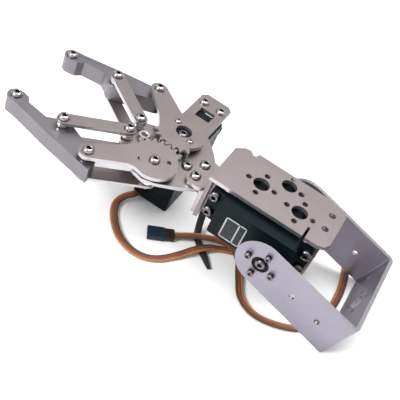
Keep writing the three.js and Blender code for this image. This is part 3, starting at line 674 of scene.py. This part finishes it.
def three_wires(_):
    """The outline of three wires side by side, the same all along, from the brown to the orange one."""
    radius = RIBBON["thickness"] / 2
    pitch = RIBBON["width"] / 2 - radius
    arcs = ((pitch, -140, 140, 8), (0, 40, 140, 4), (-pitch, 40, 320, 8), (0, 220, 320, 4))
    points = []
    for centre, start, end, steps in arcs:
        for i in range(steps + 1):
            angle = math.radians(start + (end - start) * i / steps)
            points.append((centre + radius * math.cos(angle), radius * math.sin(angle)))
    return points


def wire_of(i):
    """The material slot of the lead's side i: brown, red or orange."""
    outline = three_wires(0)
    x = sum(outline[k % len(outline)][0] for k in (i, i + 1)) / 2
    third = (RIBBON["width"] - RIBBON["thickness"]) / 4
    return 0 if x > third else 2 if x < -third else 1


def add_lead(name, route, plug):
    """A flat three-wire servo lead along its route. The plug argument is not used."""
    line = centripetal([on_table(point) for point in route], ROUTE_STEP)
    mesh = swept(flat_frames(line), three_wires, wire_of)
    lead = new_piece(f"{name}_ribbon", "wrist", mesh, TABLE, [BROWN, RED, ORANGE])
    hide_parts(name)


def add_plug(name, route):
    """A three-way housing at a lead's end: a front with its contacts' windows and a darker rear."""
    end, before = on_table(route[-1]), on_table(route[-2])
    angle = math.atan2(end.y - before.y, end.x - before.x)
    half, height, front = PLUG["width"] / 2, PLUG["height"], PLUG["length"]
    split = 5.4
    parts = [(rounded_block((GAP, -half * 0.9, 0.1), (split, half * 0.9, height - 0.1), 0.35), 1),
             (rounded_block((split - 0.1, -half, 0), (front, half, height), 0.3), 0)]
    for i in (-1, 0, 1):
        y = i * CONTACT_PITCH
        window = rounded_block((7.4, y - 0.7, height - 0.25), (11, y + 0.7, height - TOUCH), 0.08, 1)
        mouth = rounded_block((front - 0.6, y - 0.5, 0.8), (front - TOUCH, y + 0.5, 1.8), 0.08, 1)
        parts += [(window, 2), (mouth, 2)]
    place = TABLE @ Matrix.Translation((end.x, end.y, GAP)) @ Matrix.Rotation(angle, 4, "Z")
    # Slot 2, near-black, on the windows and mouths is painted shade in the openings.
    materials = [PLUG_FRONT, PLUG_REAR, RECESS_SHADE]
    plug = new_piece(f"{name}_housing", "wrist", merged(*parts), place, materials)
    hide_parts(name)
    return plug


def add_tie():
    """A nylon strap with a tapered tail, and its head at the upper end."""
    line = centripetal([on_table(point) for point in TIE_ROUTE], ROUTE_STEP)
    thick, half = TIE["thickness"] / 2, TIE["width"] / 2
    taper_from, taper = 0.8, 0.55

    def section(share):
        width = half * (1 if share < taper_from else 1 - taper * (share - taper_from) / (1 - taper_from))
        return [(width, thick * 0.5), (width * 0.7, thick), (-width * 0.7, thick), (-width, thick * 0.5),
                (-width, -thick * 0.5), (-width * 0.7, -thick), (width * 0.7, -thick), (width, -thick * 0.5)]

    frames = flat_frames(line)
    mesh = swept(frames, section, lambda _: 0)
    top, across, normal = frames[0]
    head = rounded_block((-2.9, -1.9, -2.4), (2.9, 1.9, 2.4), 0.5)
    turn = Matrix((across, normal, across.cross(normal))).transposed().to_4x4()
    mesh = merged((mesh, 0), (moved(head, *top, turn), 0))
    tie = new_piece("cable_tie_strap", "wrist", mesh, TABLE, [NYLON])
    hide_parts("cable_tie")


# ---- finishes of the CAD nodes that stay ----


def finish_node(name, material, edge=0.2, is_cut=None):
    """A CAD node with welded faces, broken edges and its own finish; is_cut picks the cut faces that get a lighter
    metal as a painted edge highlight.
    """
    node = frame["nodes"][name]
    node.data.materials.clear()
    node.data.materials.append(material)
    if is_cut:
        node.data.materials.append(EDGE_HIGHLIGHT)
    for face in node.data.polygons:
        face.material_index = 1 if is_cut and is_cut(face) else 0
        face.use_smooth = True
    for spare in ("custom_normal", "sharp_face", "sharp_edge"):
        if spare in node.data.attributes:
            node.data.attributes.remove(node.data.attributes[spare])
    weld = node.modifiers.new("weld", "WELD")
    weld.merge_threshold = 0.000002
    flat = node.modifiers.new("flat", "DECIMATE")
    flat.decimate_type = "DISSOLVE"
    flat.angle_limit = math.radians(0.5)
    flat.delimit = {"MATERIAL"}
    bevel = node.modifiers.new("edges", "BEVEL")
    bevel.width = edge * MM
    bevel.segments = 2
    bevel.limit_method = "ANGLE"
    bevel.angle_limit = math.radians(35)
    bevel.harden_normals = True
    bevel.use_clamp_overlap = True


def is_plate_edge(face):
    """Whether a face stands upright on the wrist or the gripper, as a flat plate's cut edge does."""
    return abs(face.normal.dot(wrist_up)) < 0.1


def height_on_wrist(face):
    return (WRIST.inverted() @ face.center).z


def is_side_plate_edge(face):
    return is_plate_edge(face) and height_on_wrist(face) > SIDE_PLATE_TOP - SHEET


def is_l_bracket_edge(face):
    on_flange = height_on_wrist(face) > BASE_TOP + GAP + 0.1
    return is_plate_edge(face) and (on_flange or abs(face.normal.y) > 0.95)


def finish_nodes():
    finish_node("u_bracket", LEG, 0.2, lambda face: abs(face.normal.dot(u_width)) > 0.95)
    finish_node("servo_bracket", PLATE, 0.2, is_side_plate_edge)
    finish_node("wrist_l_bracket", PLATE, 0.2, is_l_bracket_edge)
    for name in ("gripper_base_plate", "left_lower_arm"):
        finish_node(name, PLATE, 0.2, is_plate_edge)
    for side in ("left", "right"):
        for part in ("gear_arm", "upper_link", "lower_link"):
            finish_node(f"{side}_{part}", PLATE, 0.15, is_plate_edge)
        finish_node(f"{side}_finger", FINGER, 0.35)
    for servo in ("tilt_servo", "grip_servo"):
        for part in ("bottom_case", "middle_case", "top_case"):
            finish_node(f"{servo}_{part}", BLACK, 0.35)
        finish_node(f"{servo}_motor", CAN)
        finish_node(f"{servo}_board", BOARD)
        finish_node(f"{servo}_output_shaft", BRASS, 0.1)
        finish_node(f"{servo}_horn", HORN, 0.15)


# ---- stage ----


LIGHT_TARGET = Vector((0, 0, 0.02))
SKY_STOPS = ((0, 0.95), (0.07, 0.8), (0.13, 0.22), (0.75, 1))    # (height of the direction, grey)


def add_floor():
    """A white floor, in metres, just below the object."""
    mesh = bpy.data.meshes.new("floor")
    half = 3
    corners = [(-half, -half, 0), (half, -half, 0), (half, half, 0), (-half, half, 0)]
    mesh.from_pydata(corners, [], [(0, 1, 2, 3)])
    floor = bpy.data.objects.new("floor", mesh)
    bpy.context.scene.collection.objects.link(floor)
    material, shader = new_material("floor_white")
    shader.inputs["Base Color"].default_value = (0.93, 0.93, 0.93, 1)
    shader.inputs["Roughness"].default_value = 0.9
    mesh.materials.append(material)
    floor.location.z = -0.0002


def add_light(name, place, size, power):
    """A square light aimed at the object; places and sizes are in metres."""
    light = bpy.data.lights.new(name, "AREA")
    light.shape, light.size, light.energy = "SQUARE", size, power
    lamp = bpy.data.objects.new(name, light)
    bpy.context.scene.collection.objects.link(lamp)
    lamp.location = place
    lamp.rotation_euler = (LIGHT_TARGET - Vector(place)).to_track_quat("-Z", "Y").to_euler()


def add_studio():
    world = bpy.data.worlds.new("studio")
    bpy.context.scene.world = world
    world.use_nodes = True
    nodes, links = world.node_tree.nodes, world.node_tree.links
    split = nodes.new("ShaderNodeSeparateXYZ")
    links.new(nodes.new("ShaderNodeTexCoord").outputs["Generated"], split.inputs["Vector"])
    sky = ramp(world, split.outputs["Z"], SKY_STOPS)
    links.new(sky, nodes["Background"].inputs["Color"])
    nodes["Background"].inputs["Strength"].default_value = 1.0
    add_light("key", (-0.5, -0.7, 0.75), size=0.35, power=10)
    add_light("top", (0.15, 0.25, 0.9), size=0.5, power=6)
    bpy.context.scene.view_settings.view_transform = "Standard"


def add_camera():
    """The camera's place is measured from the table under the tilt axis, in millimetres."""
    camera = bpy.data.cameras.new("camera")
    camera.sensor_width = 36
    camera.lens = 70.8
    camera.shift_x, camera.shift_y = -0.0346, 0.0556
    camera.clip_start, camera.clip_end = 0.01, 20
    place = Vector((37.55, -273.6, 279.26))
    right, up = Vector((0.865, 0.447, 0.230)), Vector((-0.468, 0.549, 0.692))
    back = right.cross(up).normalized()
    up = back.cross(right.normalized())
    eye = bpy.data.objects.new("camera", camera)
    bpy.context.scene.collection.objects.link(eye)
    turn = Matrix((right.normalized(), up, back)).transposed().to_4x4()
    eye.matrix_world = Matrix.Translation(TABLE @ place) @ turn
    bpy.context.scene.camera = eye


# ---- assembly ----

add_camera()
for servo in ("grip_servo", "tilt_servo"):
    route = {"grip_servo": GRIP_LEAD, "tilt_servo": TILT_LEAD}[servo]
    add_lead(f"{servo}_lead", route, add_plug(f"{servo}_plug", route))
    add_servo_details(servo)
add_tie()
finish_nodes()
add_jaw_hardware("left", -1)
add_jaw_hardware("right", 1)
add_gripper_hardware()
add_wrist_hardware()
add_label()
add_floor()
add_studio()
